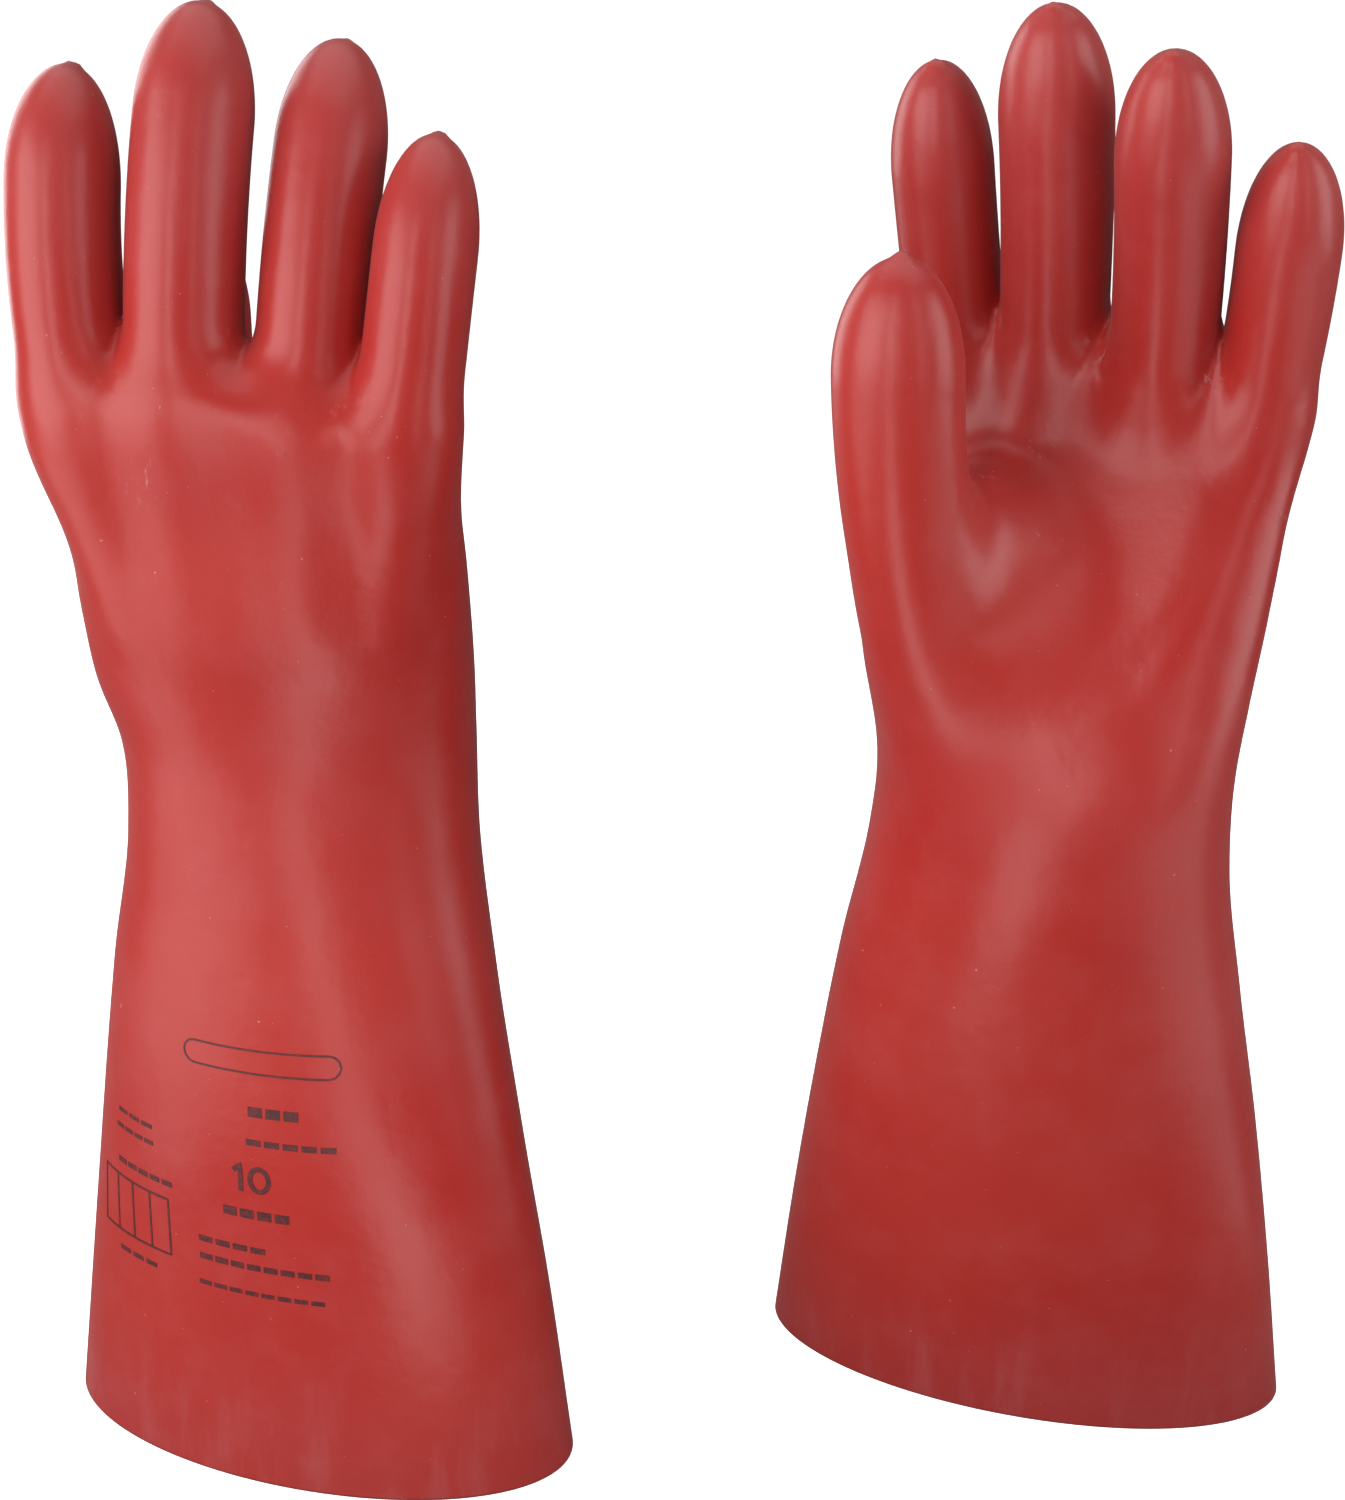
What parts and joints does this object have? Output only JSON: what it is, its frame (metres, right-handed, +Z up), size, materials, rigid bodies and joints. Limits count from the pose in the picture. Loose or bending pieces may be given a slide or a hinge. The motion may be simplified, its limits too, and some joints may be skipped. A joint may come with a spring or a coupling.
{
  "type": "electrical insulating gloves",
  "caption": "Pair of heavy red latex insulating gloves with long flared gauntlets, standing on their cuffs, hollow, with digits that bend.",
  "frame": {"origin": "on the surface the cuffs stand on, midway between the gloves", "axes": "+Z up to the fingertips, +X from the right-hand glove to the left-hand glove, the left-hand glove's palm to -Y and the right-hand glove's palm to +Y"},
  "size_m": [0.3194, 0.1402, 0.3575],
  "materials": {
    "latex": "matte dipped latex with a faint pale bloom"
  },
  "bodies": {
    "left_gauntlet": {"left_gauntlet": "latex"},
    "left_hand": {"left_hand": "latex"},
    "left_thumb": {"left_thumb": "latex"},
    "left_index_lower": {"left_index_lower": "latex"},
    "left_index_upper": {"left_index_upper": "latex"},
    "left_middle_lower": {"left_middle_lower": "latex"},
    "left_middle_upper": {"left_middle_upper": "latex"},
    "left_ring_lower": {"left_ring_lower": "latex"},
    "left_ring_upper": {"left_ring_upper": "latex"},
    "left_little_lower": {"left_little_lower": "latex"},
    "left_little_upper": {"left_little_upper": "latex"},
    "right_gauntlet": {"right_gauntlet": "latex"},
    "right_hand": {"right_hand": "latex"},
    "right_thumb": {"right_thumb": "latex"},
    "right_index_lower": {"right_index_lower": "latex"},
    "right_index_upper": {"right_index_upper": "latex"},
    "right_middle_lower": {"right_middle_lower": "latex"},
    "right_middle_upper": {"right_middle_upper": "latex"},
    "right_ring_lower": {"right_ring_lower": "latex"},
    "right_ring_upper": {"right_ring_upper": "latex"},
    "right_little_lower": {"right_little_lower": "latex"},
    "right_little_upper": {"right_little_upper": "latex"}
  },
  "joints": [
    {"name": "left_wrist", "type": "hinge", "parent": "left_gauntlet", "child": "left_hand", "pos_m": [0.0892, -0.01045, 0.15], "axis": [1, 0, 0], "range_deg": [0, 35], "stiffness_Nm_per_rad": 2},
    {"name": "left_thumb", "type": "hinge", "parent": "left_hand", "child": "left_thumb", "pos_m": [0.067, -0.0111, 0.2678], "axis": [0, -1, 0], "range_deg": [-45, 0], "stiffness_Nm_per_rad": 0.3},
    {"name": "left_index_root", "type": "hinge", "parent": "left_hand", "child": "left_index_lower", "pos_m": [0.05461, 0.03423, 0.28627], "axis": [1, 0, 0], "range_deg": [0, 15], "stiffness_Nm_per_rad": 0.3},
    {"name": "left_index_bend", "type": "hinge", "parent": "left_index_lower", "child": "left_index_upper", "pos_m": [0.05207, 0.02756, 0.31052], "axis": [1, 0, 0], "range_deg": [0, 45], "stiffness_Nm_per_rad": 0.2},
    {"name": "left_middle_root", "type": "hinge", "parent": "left_hand", "child": "left_middle_lower", "pos_m": [0.07848, 0.0274, 0.28658], "axis": [1, 0, 0], "range_deg": [0, 40], "stiffness_Nm_per_rad": 0.3},
    {"name": "left_middle_bend", "type": "hinge", "parent": "left_middle_lower", "child": "left_middle_upper", "pos_m": [0.07775, 0.01798, 0.31575], "axis": [1, 0, 0], "range_deg": [0, 50], "stiffness_Nm_per_rad": 0.2},
    {"name": "left_ring_root", "type": "hinge", "parent": "left_hand", "child": "left_ring_lower", "pos_m": [0.10436, 0.01999, 0.28386], "axis": [1, 0, 0], "range_deg": [0, 45], "stiffness_Nm_per_rad": 0.3},
    {"name": "left_ring_bend", "type": "hinge", "parent": "left_ring_lower", "child": "left_ring_upper", "pos_m": [0.10359, 0.00782, 0.30942], "axis": [1, 0, 0], "range_deg": [0, 50], "stiffness_Nm_per_rad": 0.2},
    {"name": "left_little_root", "type": "hinge", "parent": "left_hand", "child": "left_little_lower", "pos_m": [0.12908, 0.02, 0.2829], "axis": [1, 0, 0], "range_deg": [0, 45], "stiffness_Nm_per_rad": 0.3},
    {"name": "left_little_bend", "type": "hinge", "parent": "left_little_lower", "child": "left_little_upper", "pos_m": [0.12905, 0.01245, 0.30165], "axis": [1, 0, 0], "range_deg": [0, 50], "stiffness_Nm_per_rad": 0.2},
    {"name": "right_glove_lift", "type": "slide", "parent": "left_gauntlet", "child": "right_gauntlet", "axis": [0, 0, 1], "range_m": [0, 0.38]},
    {"name": "right_wrist", "type": "hinge", "parent": "right_gauntlet", "child": "right_hand", "pos_m": [-0.0892, 0.01045, 0.15], "axis": [-1, 0, 0], "range_deg": [0, 35], "stiffness_Nm_per_rad": 2},
    {"name": "right_thumb", "type": "hinge", "parent": "right_hand", "child": "right_thumb", "pos_m": [-0.1114, 0.0111, 0.2678], "axis": [0, -1, 0], "range_deg": [-45, 0], "stiffness_Nm_per_rad": 0.3},
    {"name": "right_index_root", "type": "hinge", "parent": "right_hand", "child": "right_index_lower", "pos_m": [-0.12379, -0.03423, 0.28627], "axis": [-1, 0, 0], "range_deg": [0, 15], "stiffness_Nm_per_rad": 0.3},
    {"name": "right_index_bend", "type": "hinge", "parent": "right_index_lower", "child": "right_index_upper", "pos_m": [-0.12633, -0.02756, 0.31052], "axis": [-1, 0, 0], "range_deg": [0, 45], "stiffness_Nm_per_rad": 0.2},
    {"name": "right_middle_root", "type": "hinge", "parent": "right_hand", "child": "right_middle_lower", "pos_m": [-0.09992, -0.0274, 0.28658], "axis": [-1, 0, 0], "range_deg": [0, 40], "stiffness_Nm_per_rad": 0.3},
    {"name": "right_middle_bend", "type": "hinge", "parent": "right_middle_lower", "child": "right_middle_upper", "pos_m": [-0.10065, -0.01798, 0.31575], "axis": [-1, 0, 0], "range_deg": [0, 50], "stiffness_Nm_per_rad": 0.2},
    {"name": "right_ring_root", "type": "hinge", "parent": "right_hand", "child": "right_ring_lower", "pos_m": [-0.07404, -0.01999, 0.28386], "axis": [-1, 0, 0], "range_deg": [0, 45], "stiffness_Nm_per_rad": 0.3},
    {"name": "right_ring_bend", "type": "hinge", "parent": "right_ring_lower", "child": "right_ring_upper", "pos_m": [-0.07481, -0.00782, 0.30942], "axis": [-1, 0, 0], "range_deg": [0, 50], "stiffness_Nm_per_rad": 0.2},
    {"name": "right_little_root", "type": "hinge", "parent": "right_hand", "child": "right_little_lower", "pos_m": [-0.04932, -0.02, 0.2829], "axis": [-1, 0, 0], "range_deg": [0, 45], "stiffness_Nm_per_rad": 0.3},
    {"name": "right_little_bend", "type": "hinge", "parent": "right_little_lower", "child": "right_little_upper", "pos_m": [-0.04935, -0.01245, 0.30165], "axis": [-1, 0, 0], "range_deg": [0, 50], "stiffness_Nm_per_rad": 0.2}
  ]
}
